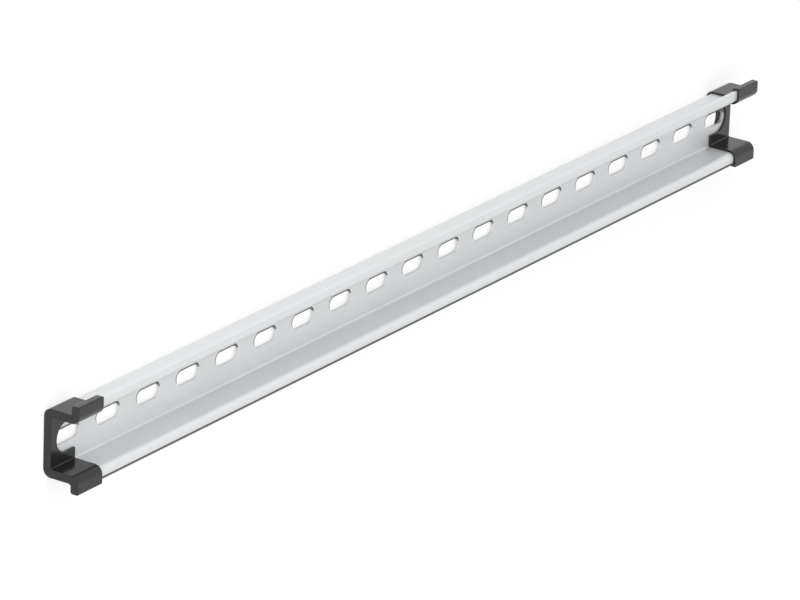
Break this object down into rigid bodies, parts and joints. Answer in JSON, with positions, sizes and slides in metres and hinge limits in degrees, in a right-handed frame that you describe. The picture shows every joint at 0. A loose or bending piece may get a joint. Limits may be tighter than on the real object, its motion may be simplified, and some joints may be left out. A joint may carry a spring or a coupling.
{
  "type": "din rail",
  "caption": "Top-hat mounting rail of slotted zinc-coated steel with black push-on end caps, for clip-on electrical devices.",
  "frame": {"origin": "centre of the footprint on the ground plane, with the backs of the end caps at z = 0", "axes": "+X along the rail, +Y across its width, +Z from the mounting back towards the flanges that devices clip on"},
  "size_m": [0.503, 0.0372, 0.0172],
  "materials": {
    "zinc_steel": "zinc-coated sheet, soft satin",
    "black_plastic": "moulded, semi-gloss"
  },
  "bodies": {
    "root": {"rail": "zinc_steel", "end_cap_left": "black_plastic", "end_cap_right": "black_plastic"}
  },
  "joints": []
}
